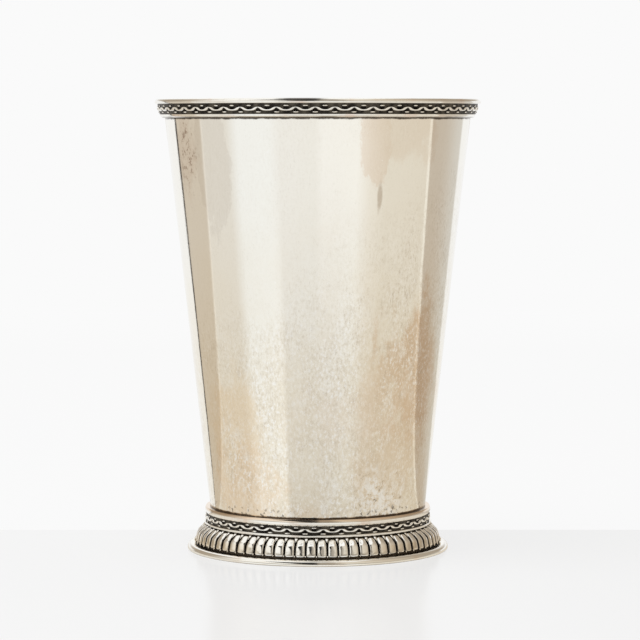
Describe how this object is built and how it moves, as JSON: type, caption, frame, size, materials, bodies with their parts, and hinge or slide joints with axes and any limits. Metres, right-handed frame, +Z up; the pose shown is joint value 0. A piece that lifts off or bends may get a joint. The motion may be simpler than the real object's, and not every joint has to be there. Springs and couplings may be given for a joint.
{
  "type": "julep cup",
  "caption": "Tapered silver julep cup on a ring foot, with wave bands at rim and foot and a gadroon border over the base flange.",
  "frame": {"origin": "centre of the base flange's underside, on the surface that the cup stands on", "axes": "+Z up along the cup's axis, from the base to the mouth; +X and +Y are any two square directions, because the cup is round"},
  "size_m": [0.0824, 0.0824, 0.1143],
  "materials": {
    "body_silver": "polished silver with warm tarnish and fine scratches",
    "moulding_silver": "polished silver",
    "gadroon_silver": "polished silver with oxidised grooves",
    "oxidised_band_silver": "oxidised silver ground with a bright relief"
  },
  "bodies": {
    "root": {"body_wall": "body_silver", "bottom_disc": "body_silver", "rim_lip": "moulding_silver", "rim_wave_band": "oxidised_band_silver", "rim_bead": "moulding_silver", "foot_collar": "moulding_silver", "foot_wave_band": "oxidised_band_silver", "foot_bead": "moulding_silver", "gadroon_border": "gadroon_silver", "foot_ring": "body_silver", "base_flange": "moulding_silver"}
  },
  "joints": []
}
